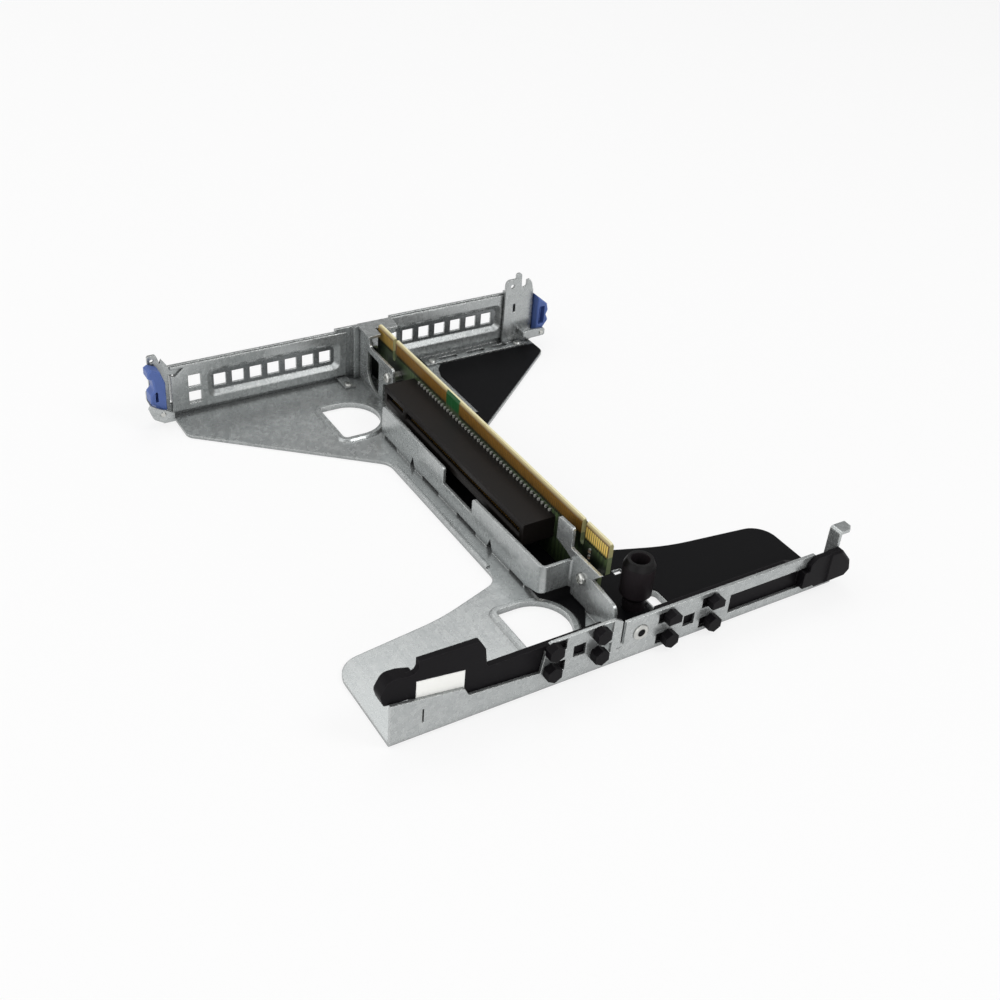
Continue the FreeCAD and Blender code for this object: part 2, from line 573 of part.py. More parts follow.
def riser_board():
    """Board with bevelled card edge and two key notches."""
    board = slab(BOARD, "yz", 0, BOARD_T)
    cutters = []
    for y0, y1 in BOARD_KEYS:
        notch = (y0, y1, BOARD_TOP - KEY_DEPTH, BOARD_TOP + SHEET)
        cutters.append(slab(rectangle(notch, (y1 - y0) / 2 - 0.01), "yz", -SHEET, 4 * SHEET))
    bevel = [(-FIT, BOARD_TOP + FIT), (BEVEL_IN, BOARD_TOP + FIT), (-FIT, BOARD_TOP - BEVEL_FALL)]
    wedge = slab(bevel, "xz", -SHEET, BOARD_LONG + 2 * SHEET)
    cutters.append(wedge)
    cutters.append(wedge.mirror(V(BOARD_T / 2, 0, 0), V(1, 0, 0)))
    for y, z in SCREWS:
        cutters.append(rod("yz", y, z, SCREW_HOLE_R, -SHEET, 4 * SHEET))
    return board.cut(Part.makeCompound(cutters))


def edge_contacts():
    """Gold fingers on the board's left face."""
    fingers = []
    for first, count in FINGER_RUNS:
        for i in range(count):
            y = first + i * FINGER_PITCH
            half = FINGER_WIDTH / 2
            fingers.append(block(-FINGER_T, 0, y - half, y + half, FINGER_Z[0], FINGER_Z[1]))
    return Part.makeCompound(fingers)


def slot_housing():
    """Left card slot: moulded body with a flared mouth, a lip over the contacts and a key bar."""
    section = [
        (0, SLOT_Z - SLOT_HALF), (0, SLOT_Z + SLOT_HALF), (-SLOT_DEPTH, SLOT_Z + SLOT_HALF, SLOT_EDGE),
        (-SLOT_DEPTH, SLOT_Z - SLOT_HALF, SLOT_EDGE),
    ]
    body = slab(section, "xz", SLOT_Y[0], SLOT_Y[1] - SLOT_Y[0])
    face = -SLOT_DEPTH
    upper = [
        (face - 0.1, MOUTH_FLARE), (face + SLOT_LIP / 2, MOUTH_HALF), (face + SLOT_LIP, MOUTH_HALF),
        (face + SLOT_LIP, WELL_HALF), (face + SLOT_WELL, WELL_HALF),
    ]
    lower = [(x, -h) for x, h in reversed(upper)]
    well = [(x, SLOT_Z + h) for x, h in upper + lower]
    bays = [slab(well, "xz", y0, y1 - y0) for y0, y1 in SLOT_BAYS]
    return body.cut(Part.makeCompound(bays))


def slot_contacts():
    """Spring contacts along both sides of the left slot, and the tails soldered to the board."""
    pieces = []
    for first, count in CONTACT_RUNS:
        for i in range(count):
            y = first + i * FINGER_PITCH
            low, high = y - CONTACT_WIDTH / 2, y + CONTACT_WIDTH / 2
            for side in (-1, 1):
                edge = SLOT_Z + side * WELL_HALF
                inner = edge - side * CONTACT_T
                bottom, top = min(edge, inner), max(edge, inner)
                pieces.append(block(CONTACT_X[0], CONTACT_X[1], low, high, bottom, top))
    out, wide, tall = TAIL
    for i in range(TAIL_COUNT):
        y = TAIL_FIRST + i * TAIL_PITCH
        top = SLOT_Z + SLOT_HALF
        foot_z = SLOT_Z - SLOT_HALF
        pieces.append(block(-out, 0, y - wide / 2, y + wide / 2, top, top + tall))
        pieces.append(block(-out, 0, y - wide / 2, y + wide / 2, foot_z - tall, foot_z))
    return Part.makeCompound(pieces)


def latch(outline, pocket, pin):
    """Moulded latch with a finger pocket in its face, bored for its pin."""
    body = slab(outline, "xz", LATCH_Y, LATCH_DEEP)
    rims = edges_at(body, 1, LATCH_Y) + edges_at(body, 1, LATCH_Y + LATCH_DEEP)
    body = body.makeChamfer(LATCH_EDGE, rims)
    body = body.cut(slab(rectangle(pocket, POCKET_CORNER), "xz", LATCH_Y - SHEET, POCKET_DEEP + SHEET))
    return body.cut(rod("xz", pin[0], pin[1], PIN_RUN_R, LATCH_Y - SHEET, LATCH_DEEP + 2 * SHEET))


def latch_pin(pin):
    """Hinge pin with chamfered ends."""
    bar = rod("xz", pin[0], pin[1], PIN_R, PIN_Y[0], PIN_Y[1] - PIN_Y[0])
    return bar.makeChamfer(PIN_CHAMFER, edges_at(bar, 1, PIN_Y[0]) + edges_at(bar, 1, PIN_Y[1]))


def peg_head(x, z, flat):
    """Corners of a six-sided peg head, with its point up and its lower side cut flat if asked."""
    corners = []
    for turn in range(6):
        angle = math.radians(60 * turn)
        up = PEG_HEAD_R * math.cos(angle)
        if flat and up < -PEG_FLAT:
            up = -PEG_FLAT
        corners.append((x + PEG_HEAD_R * math.sin(angle), z + up))
    return corners


def pegs(places, flat_z):
    """Pegs that stand through the flange, with their heads in front. Those at one height have flat heads."""
    shapes = []
    face = FRONT_Y - PEG_GAP
    for x, z in places:
        shapes.append(slab(peg_head(x, z, z == flat_z), "xz", face - PEG_OUT, PEG_OUT))
        shapes.append(rod("xz", x, z, PEG_R, face - SHEET / 2, HOLDER_Y - face + SHEET))
    return shapes


def left_card_holder():
    """Left holder: a stepped bar with a rounded thumb cap at its outer end."""
    bar = slab(LEFT_HOLDER, "xz", HOLDER_Y, HOLDER_T)
    cap = slab(LEFT_CAP, "xz", HOLDER_Y, CAP_DEPTH)
    cap = cap.makeChamfer(CAP_CHAMFER, edges_at(cap, 1, HOLDER_Y + CAP_DEPTH))
    return joined([bar, cap] + pegs(LEFT_PEGS, None))


def right_card_holder():
    """Right holder: a bar behind the flange that comes through its window to a cap in front."""
    bar = slab(RIGHT_BAR, "xz", HOLDER_Y, HOLDER_T)
    cap_back = RIGHT_CAP_Y + RIGHT_CAP_DEPTH
    front = RIGHT_CAP_Y + NECK_IN
    neck = slab(rectangle(RIGHT_NECK), "xz", front, HOLDER_Y - front + HOLDER_T / 2)
    bridge = slab(RIGHT_BRIDGE, "xz", front, cap_back - front)
    cap = slab(RIGHT_CAP, "xz", RIGHT_CAP_Y, RIGHT_CAP_DEPTH)
    cap = cap.makeChamfer(CAP_CHAMFER, edges_at(cap, 1, RIGHT_CAP_Y))
    wrap = slab(RIGHT_CAP, "xz", RIGHT_CAP_Y + RIGHT_CAP_DEPTH / 2, CAP_DEPTH)
    wrap = wrap.common(block(RIGHT_CAP_WRAP, 2 * RIGHT_CAP_WRAP, RIGHT_CAP_Y, 0, 0, BOARD_TOP))
    return joined([bar, neck, bridge, cap, wrap] + pegs(RIGHT_PEGS, RIGHT_PEGS[0][1]))


def guide_post():
    """Hollow post with a narrower foot."""
    outline = Part.makePolygon([V(r, 0, z) for r, z in POST_PROFILE + POST_PROFILE[:1]])
    post = Part.Face(outline).revolve(V(0, 0, 0), V(0, 0, 1), 360)
    post.translate(V(POST[0], POST[1], 0))
    return post


def front_film():
    """Insulating film on the front wing, cut round the holes, the rims and the post."""
    film = slab(FRONT_FILM, "xy", SHEET, FILM_T)
    cutters = [slab(d_outline(FRONT_D, False, RIM_WIDTH + FILM_GAP), "xy", 0, 4 * SHEET)]
    cutters.append(slab(rectangle(POST_HOLE, D_CORNER, POST_RIM + FILM_GAP), "xy", 0, 4 * SHEET))
    cutters.append(slab(rectangle(CABLE_SLIT, 0, FILM_GAP), "xy", 0, 4 * SHEET))
    cutters.append(rod("xy", POST[0], POST[1], FILM_POST_R, 0, 4 * SHEET))
    return film.cut(Part.makeCompound(cutters))


def board_screws():
    """Domed screws through strip, standoff and board."""
    screws = []
    for y, z in SCREWS:
        head = rod("yz", y, z, SCREW_HEAD_R, STRIP_X - SCREW_HEAD, SCREW_HEAD)
        head = head.makeChamfer(SCREW_CHAMFER, edges_at(head, 0, STRIP_X - SCREW_HEAD))
        shank = rod("yz", y, z, SCREW_R, STRIP_X - SCREW_HEAD / 2, SCREW_END - STRIP_X)
        screws.append(joined([head, shank]))
    return Part.makeCompound(screws)


def board_standoffs():
    """Spacers between the strips and the board."""
    start = STRIP_X + SHEET
    spacers = []
    for y, z in SCREWS:
        spacer = rod("yz", y, z, STANDOFF_R, start, -start)
        spacers.append(spacer.cut(rod("yz", y, z, SCREW_HOLE_R, start - SHEET, 6 * SHEET)))
    return Part.makeCompound(spacers)


def frame_rivets():
    """Domed rivets that hold the rear frame's feet to the plate."""
    rivets = []
    for x, y in RIVETS:
        head = rod("xy", x, y, RIVET_HEAD_R, SHEET + FOOT_T, RIVET_HEAD)
        head = head.makeChamfer(RIVET_CHAMFER, edges_at(head, 2, SHEET + FOOT_T + RIVET_HEAD))
        rivets.append(joined([head, rod("xy", x, y, RIVET_R, FIT, SHEET + FOOT_T)]))
    return Part.makeCompound(rivets)


def flange_eyelet():
    """Eyelet pressed into the flange."""
    x, z = EYELET
    ring = rod("xz", x, z, EYELET_RING_R, FRONT_Y - EYELET_RING, EYELET_RING)
    ring = ring.makeChamfer(EYELET_CHAMFER, edges_at(ring, 1, FRONT_Y - EYELET_RING))
    barrel = rod("xz", x, z, EYELET_R, FRONT_Y - EYELET_RING / 2, SHEET + EYELET_RING / 2)
    return joined([ring, barrel]).cut(rod("xz", x, z, EYELET_BORE, FRONT_Y - 2 * SHEET, 5 * SHEET))


def board_capacitors():
    """Chip capacitors on the board's left face."""
    out, wide, tall = CHIP
    chips = [block(-out, 0, y - wide / 2, y + wide / 2, z - tall / 2, z + tall / 2) for y, z in CHIPS]
    return Part.makeCompound(chips)


def through_board(shape, drop=0):
    """The same piece on the board's right face, set lower by a drop."""
    opposite = shape.mirror(V(BOARD_T / 2, 0, 0), V(1, 0, 0))
    opposite.translate(V(0, 0, -drop))
    return opposite


left_vents = [(x, LEFT_VENT_Z) for x in LEFT_VENTS] + END_VENTS
right_vents = [(x, RIGHT_VENT_Z) for x in RIGHT_VENTS]
contacts = edge_contacts()
housing = slot_housing()
springs = slot_contacts()
nodes = {
    "cage": cage(),
    "rear_frame": rear_frame(),
    "left_filler": filler(LEFT_FILLER, LEFT_DISH, left_vents, True),
    "right_filler": filler(RIGHT_FILLER, RIGHT_DISH, right_vents, False),
    "riser_board": riser_board(),
    "left_edge_contacts": contacts,
    "right_edge_contacts": through_board(contacts),
    "left_slot_housing": housing,
    "right_slot_housing": through_board(housing, RIGHT_SLOT_DROP),
    "left_slot_contacts": springs,
    "right_slot_contacts": through_board(springs, RIGHT_SLOT_DROP),
    "left_latch": latch(LEFT_LATCH, LEFT_POCKET, LEFT_PIN),
    "right_latch": latch(RIGHT_LATCH, RIGHT_POCKET, RIGHT_PIN),
    "left_latch_pin": latch_pin(LEFT_PIN),
    "right_latch_pin": latch_pin(RIGHT_PIN),
    "left_card_holder": left_card_holder(),
    "right_card_holder": right_card_holder(),
    "holder_label": slab(LABEL, "xz", HOLDER_Y - LABEL_T, LABEL_T),
    "guide_post": guide_post(),
    "front_film": front_film(),
    "rear_film": slab(REAR_FILM, "xy", SHEET, FILM_T),
    "board_screws": board_screws(),
    "board_standoffs": board_standoffs(),
    "frame_rivets": frame_rivets(),
    "flange_eyelet": flange_eyelet(),
    "board_capacitors": board_capacitors(),
}
os.makedirs("parts", exist_ok=True)
for name, shape in nodes.items():
    placed = shape.copy()
    placed.translate(V(-ORIGIN_X, -ORIGIN_Y, 0))
    placed.exportStep("parts/" + name + ".step")
    print(name, "solids", len(placed.Solids), "valid", placed.isValid(), "volume", round(placed.Volume, 1))
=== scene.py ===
# %% [markdown]
# # A riser card in its folded steel cage
# The solids arrive finished from CAD: a butterfly-shaped steel cage, a vented rear frame, an upright
# circuit board with a card slot on each face, two blue latches and two black card holders. This script
# gives every surface its finish, adds the small parts that a solid model leaves out, and looks at it
# from the photograph's angle.

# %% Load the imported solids
import bpy
import bmesh
import math
from mathutils import Matrix, Vector


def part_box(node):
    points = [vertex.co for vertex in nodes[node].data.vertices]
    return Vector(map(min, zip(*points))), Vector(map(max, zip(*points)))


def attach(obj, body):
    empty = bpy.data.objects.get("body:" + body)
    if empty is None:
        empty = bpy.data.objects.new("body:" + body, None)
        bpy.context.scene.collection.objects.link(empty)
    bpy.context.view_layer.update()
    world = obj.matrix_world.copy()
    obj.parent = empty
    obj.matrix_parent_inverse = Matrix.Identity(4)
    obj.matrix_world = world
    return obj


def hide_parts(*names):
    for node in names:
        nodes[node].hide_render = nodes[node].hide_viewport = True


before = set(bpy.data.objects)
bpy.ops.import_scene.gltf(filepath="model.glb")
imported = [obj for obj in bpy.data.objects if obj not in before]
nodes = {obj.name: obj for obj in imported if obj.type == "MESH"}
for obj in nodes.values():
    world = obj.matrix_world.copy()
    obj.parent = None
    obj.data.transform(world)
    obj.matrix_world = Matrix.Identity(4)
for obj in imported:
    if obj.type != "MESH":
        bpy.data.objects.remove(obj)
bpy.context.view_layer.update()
MM = 0.001
bpy.context.scene.view_settings.view_transform = "Standard"

# %% [markdown]
# ## The camera
# The photograph was taken from the front left, about 40 centimetres away and looking down. A camera can
# be placed by eye, but the board's card edge has a standard size, so straight edges of the plate, the
# board and the rear wall give the camera's place and lens by sums. The picture is a little off centre,
# so the lens is shifted rather than the object moved.

# %% Set up the camera
FRAME_PX = 1000
FOCAL_PX = 1297.7
CENTRE_PX = (515.33, 491.84)
SENSOR_MM = 36.0
NEAREST = 10 * MM
CAMERA_MM = Vector((-185.45, -290.56, 239.68))
YAW, PITCH, ROLL = (math.radians(angle) for angle in (34.7455, 34.4765, -5.4601))


def camera_turn(yaw, pitch, roll):
    """Rotation whose columns are the camera's right, up and backward directions."""
    level = math.cos(pitch)
    ahead = Vector((math.sin(yaw) * level, math.cos(yaw) * level, -math.sin(pitch)))
    right = Vector((math.cos(yaw), -math.sin(yaw), 0))
    down = ahead.cross(right)
    rolled_right = math.cos(roll) * right + math.sin(roll) * down
    rolled_down = -math.sin(roll) * right + math.cos(roll) * down
    return Matrix((rolled_right, -rolled_down, -ahead)).transposed()


optics = bpy.data.cameras.new("camera")
optics.sensor_width = SENSOR_MM
optics.lens = FOCAL_PX / FRAME_PX * SENSOR_MM
optics.shift_x = 0.5 - CENTRE_PX[0] / FRAME_PX
optics.shift_y = CENTRE_PX[1] / FRAME_PX - 0.5
optics.clip_start = NEAREST
camera = bpy.data.objects.new("camera", optics)
bpy.context.collection.objects.link(camera)
camera.matrix_world = Matrix.Translation(CAMERA_MM * MM) @ camera_turn(YAW, PITCH, ROLL).to_4x4()
bpy.context.scene.camera = camera
print("lens", round(optics.lens, 2), "mm, shift", round(optics.shift_x, 4), round(optics.shift_y, 4))

# %% [markdown]
# ## Writing node trees as sums
# A finish is easier to read as arithmetic than as a list of nodes and wires. `Signal` wraps one output
# socket, so that `0.3 + 0.2 * grain` adds the Math nodes by itself. `Graph` is any node tree, and its
# `node` method adds any other node: the settings first, then the values or the signals of its inputs.
# `Finish` is a graph that ends in one Principled shader, and its methods are the few patterns that the
# finishes below are mixed from.

# %% Signals
class Signal:
    """An output socket that Python can do sums with."""

    def __init__(self, graph, socket):
        self.graph = graph
        self.socket = socket

    def maths(self, operation, first, second):
        return self.graph.node("ShaderNodeMath", {"operation": operation}, {0: first, 1: second})

    def __add__(self, other):
        return self.maths("ADD", self, other)

    def __radd__(self, other):
        return self.maths("ADD", other, self)

    def __sub__(self, other):
        return self.maths("SUBTRACT", self, other)

    def __rsub__(self, other):
        return self.maths("SUBTRACT", other, self)

    def __mul__(self, other):
        return self.maths("MULTIPLY", self, other)

    def __rmul__(self, other):
        return self.maths("MULTIPLY", other, self)

    def larger(self, other):
        return self.maths("MAXIMUM", self, other)


# %% Graphs
class Graph:
    """A node tree that is filled one node at a time."""

    def __init__(self, tree):
        self.tree = tree

    def node(self, kind, settings=None, inputs=None, output=0):
        """Add a node: its settings first, then the values or signals of its inputs."""
        made = self.tree.nodes.new(kind)
        for name, value in (settings or {}).items():
            setattr(made, name, value)
        for key, value in (inputs or {}).items():
            self.feed(made.inputs[key], value)
        return Signal(self, made.outputs[output])

    def feed(self, socket, value):
        """Give a socket a value, or link a signal to it."""
        if isinstance(value, Signal):
            self.tree.links.new(value.socket, socket)
        else:
            socket.default_value = value

    def ramp(self, value, low, high):
        """0 below low, 1 above high, smooth between."""
        sockets = {"Value": value, "From Min": low, "From Max": high}
        return self.node("ShaderNodeMapRange", {"interpolation_type": "SMOOTHSTEP"}, sockets)


# %% Finishes
class Finish(Graph):
    """A material under construction, with one Principled shader."""

    EDGE_RAYS = 4
    AIR_RAYS = 8
    EDGE_TURN = (0.01, 0.16)

    def __init__(self, name):
        self.material = bpy.data.materials.new(name)
        self.material.use_nodes = True
        super().__init__(self.material.node_tree)
        self.shader = self.tree.nodes["Principled BSDF"]

    def surface(self, **sockets):
        """Set the shader's own sockets, written with _ for a space."""
        for name, value in sockets.items():
            self.feed(self.shader.inputs[name.replace("_", " ")], value)

    def place(self, scale=(1, 1, 1)):
        """Object coordinates, stretched by a scale."""
        coords = self.node("ShaderNodeTexCoord", output="Object")
        return self.node("ShaderNodeMapping", inputs={"Vector": coords, "Scale": scale})

    def noise(self, scale, detail=3.0, stretch=(1, 1, 1)):
        """Soft random field from 0 to 1."""
        sockets = {"Vector": self.place(stretch), "Scale": scale, "Detail": detail}
        return self.node("ShaderNodeTexNoise", inputs=sockets)

    def cells(self, scale):
        """Random grains, like crystals in a zinc coat."""
        sockets = {"Vector": self.place(), "Scale": scale}
        return self.node("ShaderNodeTexVoronoi", inputs=sockets, output="Color")

    def blend(self, factor, first, second):
        """Mix two colours. A Mix node has sockets for every kind of data: 6, 7 and 2 are the colours."""
        sockets = {0: factor, 6: first, 7: second}
        return self.node("ShaderNodeMix", {"data_type": "RGBA"}, sockets, output=2)

    def softened(self, radius):
        """The surface's normal with every edge rounded over."""
        return self.node("ShaderNodeBevel", {"samples": self.EDGE_RAYS}, {"Radius": radius})

    def sharp_edges(self, rounded):
        """1 along sharp edges, where the rounded normal leaves the true one, and 0 elsewhere."""
        normal = self.node("ShaderNodeNewGeometry", output="Normal")
        pair = {0: rounded, 1: normal}
        agree = self.node("ShaderNodeVectorMath", {"operation": "DOT_PRODUCT"}, pair, output="Value")
        return self.ramp(1.0 - agree, *self.EDGE_TURN)

    def open_air(self, reach):
        """1 where nothing is near, falling towards 0 in corners and folds, where shade is painted."""
        settings = {"samples": self.AIR_RAYS}
        return self.node("ShaderNodeAmbientOcclusion", settings, {"Distance": reach}, output="AO")

    def bump(self, height, depth, normal=None):
        """Surface normal from a height field, depth in metres."""
        sockets = {"Height": height, "Distance": depth, "Strength": 1.0}
        if normal:
            sockets["Normal"] = normal
        return self.node("ShaderNodeBump", inputs=sockets)

    def axis(self, name):
        """One coordinate of the piece, in metres."""
        return self.node("ShaderNodeSeparateXYZ", inputs={"Vector": self.place()}, output=name)

    def facing(self, name):
        """How far the surface faces along one axis, from -1 to 1."""
        normal = self.node("ShaderNodeNewGeometry", output="Normal")
        return self.node("ShaderNodeSeparateXYZ", inputs={"Vector": normal}, output=name)


# %% [markdown]
# ## Colours, and who wears what
# Colours are written as the 0 to 255 values that a colour picker shows, because those are easy to check
# on a screen. A shader wants linear light, so `rgb` undoes the screen's standard curve. `dress` puts a
# finish on solids in the material slots that they already have, so nothing about their shape changes.

# %% Colours, and who wears what
def rgb(red, green, blue):
    """A colour from its 0 to 255 screen values, by the standard screen curve."""
    shares = [channel / 255 for channel in (red, green, blue)]
    linear = [((s + 0.055) / 1.055) ** 2.4 if s > 0.04045 else s / 12.92 for s in shares]
    return (*linear, 1.0)


def dress(finish, *names):
    """Put a finish on CAD nodes."""
    for name in names:
        for slot in nodes[name].material_slots:
            slot.material = finish.material
    print(finish.material.name, "on", ", ".join(names))


# %% [markdown]
# ## Galvanised sheet
# The cage and the rear frame are zinc-coated steel: a grey metal with faint crystals, cloudy patches
# where the coat is thicker, and fine marks along the rolling direction. A picture of zinc would show
# seams at the folds, so the pattern is mixed in space instead: cells give the crystals, slow noise the
# clouds and stretched noise the rolling marks. Painted shade darkens the inside of folds. A punched edge
# is never quite sharp and its zinc is rubbed bright, and a painted highlight is laid along it too.
# Modelled roundings would multiply the faces, so a Bevel node bends the normal near each edge, and the
# same node tells where to paint the rubbed zinc and its highlight.

# %% Galvanised sheet
SHEET_EDGE = 0.4 * MM
FOLD_REACH = 4 * MM
CRYSTALS = 780.0
CLOUDS = 38.0
ROLLING = 60.0
ROLLING_STRETCH = (30.0, 1.0, 30.0)
FINE_GRAIN = 1500.0
ZINC_RELIEF = 0.015 * MM
ZINC_DARK = rgb(141, 145, 146)
ZINC_PALE = rgb(199, 202, 201)
# The next two are painted shade for folds, and rubbed zinc with a painted highlight for edges.
ZINC_FOLD_SHADE = rgb(78, 80, 81)
ZINC_RUBBED_HIGHLIGHT = rgb(212, 214, 212)


def galvanised(name, edge):
    """Zinc sheet with painted shade in folds, rubbed edges of a given radius with a painted highlight:
    the finish and its zinc colour.
    """
    sheet = Finish(name)
    rounded = sheet.softened(edge)
    crystals = sheet.cells(CRYSTALS)
    clouds = sheet.noise(CLOUDS, 4.0)
    rolling = sheet.noise(ROLLING, 3.0, ROLLING_STRETCH)
    fine = sheet.noise(FINE_GRAIN, 2.0)
    tone = 0.30 * crystals + 0.38 * clouds + 0.32 * rolling
    # Painted shade: the zinc is darkened in folds and corners, where little light reaches.
    unshaded_zinc = sheet.ramp(sheet.open_air(FOLD_REACH), 0.1, 0.9)
    zinc = sheet.blend(tone, ZINC_DARK, ZINC_PALE)
    zinc = sheet.blend(unshaded_zinc, ZINC_FOLD_SHADE, zinc)
    # Painted highlight: sharp edges are painted brighter, as rubbed zinc and as light catching them.
    zinc = sheet.blend(0.7 * sheet.sharp_edges(rounded), zinc, ZINC_RUBBED_HIGHLIGHT)
    sheet.surface(
        Base_Color=zinc,
        Roughness=0.20 + 0.05 * clouds + 0.08 * crystals,
        Metallic=0.68,
        Normal=sheet.bump(0.7 * rolling + 0.3 * fine, ZINC_RELIEF, rounded),
    )
    return sheet, zinc


steel, _ = galvanised("galvanised_sheet", SHEET_EDGE)
dress(steel, "cage", "rear_frame")

# %% [markdown]
# ## Blanking plates
# The two plates that close the rear frame are the same sheet, pressed into a shallow dish with a row of
# vents. The dish's floor is painted darker, as painted shade in the recess. Faces could be picked by hand
# for a second material, but it is surer to ask each place how deep it lies and whether it faces the
# front, and to paint that shade into the sheet's own colour there.

# %% Blanking plates
PRESSED_EDGE = 0.6 * MM
FILLER_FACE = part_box("left_filler")[0][1]
DISH_DEPTH = 1.3 * MM
# Colour of the painted shade on the dish's floor.
DISH_SHADE = rgb(122, 125, 126)
FRONTAL = (0.85, 0.97)
pressed, zinc = galvanised("pressed_sheet", PRESSED_EDGE)
# Painted shade: the sunk floor of the dish, where it faces the front, is painted darker.
sunk = pressed.ramp(pressed.axis("Y"), FILLER_FACE + 0.3 * DISH_DEPTH, FILLER_FACE + 0.9 * DISH_DEPTH)
frontal = pressed.ramp(0.0 - pressed.facing("Y"), *FRONTAL)
pressed.surface(Base_Color=pressed.blend(sunk * frontal, zinc, DISH_SHADE))
dress(pressed, "left_filler", "right_filler")

# %% [markdown]
# ## Plated fasteners
# Pins, rivets, standoffs and screws are bright plated steel. A perfect mirror looks false at this size,
# so faint noise in colour, gloss and bump breaks up the reflections. The eyelet in the front flange is
# the same plating seen end on. Little light gets down its bore, so its finish measures how far a place
# is from the bore's axis and darkens what lies inside.

# %% Plated fasteners
PLATED_EDGE = 0.3 * MM
PLATED_RELIEF = 0.02 * MM
PLATED_DARK = rgb(176, 177, 174)
PLATED_PALE = rgb(214, 214, 210)
plated = Finish("plated_steel")
plated.surface(
    Base_Color=plated.blend(plated.noise(300.0), PLATED_DARK, PLATED_PALE),
    Roughness=0.22 + 0.14 * plated.noise(500.0),
    Metallic=1.0,
    Normal=plated.bump(plated.noise(900.0), PLATED_RELIEF, plated.softened(PLATED_EDGE)),
)
dress(plated, "left_latch_pin", "right_latch_pin", "board_screws", "board_standoffs", "frame_rivets")

# %% The eyelet
EYELET_PLACE = (2.15, 8.7)
EYELET_BORE = 1.1
BORE_FADE = (0.05, 0.25)
BORE_DARK = rgb(24, 24, 26)
eyelet = Finish("eyelet_plating")
aside = (1 / MM) * eyelet.axis("X") - EYELET_PLACE[0]
upward = (1 / MM) * eyelet.axis("Z") - EYELET_PLACE[1]
inside, outside = ((EYELET_BORE + fade) ** 2 for fade in BORE_FADE)
rim_share = eyelet.ramp(aside * aside + upward * upward, inside, outside)
eyelet_grain = eyelet.noise(500.0)
eyelet.surface(
    Base_Color=eyelet.blend(rim_share, BORE_DARK, eyelet.blend(eyelet_grain, PLATED_DARK, PLATED_PALE)),
    Roughness=0.26 + 0.12 * eyelet_grain,
    Metallic=0.9,
    Normal=eyelet.softened(PLATED_EDGE),
)
dress(eyelet, "flange_eyelet")

# %% [markdown]
# ## The circuit board
# Green solder mask covers the faces, with copper traces under it as slightly lighter lines, and it is
# painted nearly black, as painted shade, where the slots crowd it. The mask stops short of the card
# edge. There brown laminate shows between the gold fingers and gets paler up the bevel, and in the gap
# between the two groups of fingers the mask goes on, a brighter green. The cut edges are bare too:
# creamy on top, and straw above olive at the ends. The board is one solid, so each of these is found
# from where the surface is, the way it faces and what stands near it, and no texture has to be drawn.

# %% Where the board is covered and where it is bare
MASK_TOP = 19.4 * MM
MASK_EDGE = 0.3 * MM
BEVEL_FOOT = 23.2 * MM
BOARD_TOP = 24.5 * MM
FINGER_GAP = (18.4 * MM, 26.8 * MM)
GAP_EDGE = 0.4 * MM
SHADE_REACH = 14 * MM
board = Finish("solder_mask")
along = board.axis("Y")
height = board.axis("Z")
sideways = board.facing("X")
cut = 1.0 - board.ramp(sideways * sideways, 0.4, 0.7)
past_front = board.ramp(along, FINGER_GAP[0], FINGER_GAP[0] + GAP_EDGE)
past_rear = board.ramp(along, FINGER_GAP[1], FINGER_GAP[1] + GAP_EDGE)
between = past_front * (1.0 - past_rear)
above = board.ramp(height, MASK_TOP, MASK_TOP + MASK_EDGE)
bevel = board.ramp(height, BEVEL_FOOT, BOARD_TOP)
top = board.ramp(height, BOARD_TOP - 0.6 * MM, BOARD_TOP - 0.2 * MM)
# Painted shade: the mask is darkened where the slots and other parts crowd the board.
unshaded_mask = board.ramp(board.open_air(SHADE_REACH), 0.28, 0.80)
print("bare laminate from", round(MASK_TOP / MM, 1), "to", round(BOARD_TOP / MM, 1), "mm up")

# %% The board's colours
TRACE_SCALE = 160.0
TRACE_RELIEF = 0.02 * MM
traces = board.node("ShaderNodeTexWave", {"wave_type": "BANDS", "bands_direction": "Y"},
                    {"Vector": board.place(), "Scale": TRACE_SCALE, "Distortion": 3.0, "Detail": 1.0})
patches = board.ramp(board.noise(90.0, 2.0), 0.45, 0.55)
copper = board.ramp(traces, 0.45, 0.6) * patches
fibre = board.noise(900.0)
mask = board.blend(copper, rgb(60, 74, 50), rgb(80, 98, 62))
# Painted shade near the slots.
mask = board.blend(unshaded_mask, rgb(16, 21, 15), mask)
mask = board.blend(above * between, mask, rgb(18, 78, 36))
laminate = board.blend(bevel, rgb(96, 68, 28), rgb(204, 190, 138))
face = board.blend(above * (1.0 - between), mask, laminate)
cream = board.blend(fibre, rgb(222, 212, 164), rgb(240, 234, 200))
olive = board.blend(fibre, rgb(84, 94, 64), rgb(112, 122, 88))
straw = board.blend(fibre, rgb(142, 136, 92), rgb(168, 162, 116))
rim = board.blend(top, board.blend(above, olive, straw), cream)
board.surface(
    Base_Color=board.blend(cut, face, rim),
    Roughness=0.34 + 0.25 * cut,
    Normal=board.bump(copper, TRACE_RELIEF),
)
dress(board, "riser_board")

# %% [markdown]
# ## Gold fingers
# The fingers near the front end are painted a bright yellow, as painted light where light falls on
# them. The long rows are painted brown, as painted shade, and darker towards the foot. The lowest ends
# lie under the mask and take its colour.
# Each finger could have its own material, but the place along the board already tells which is which.
# Thin plating over rough copper scatters as much as it mirrors, so it is only partly metallic.

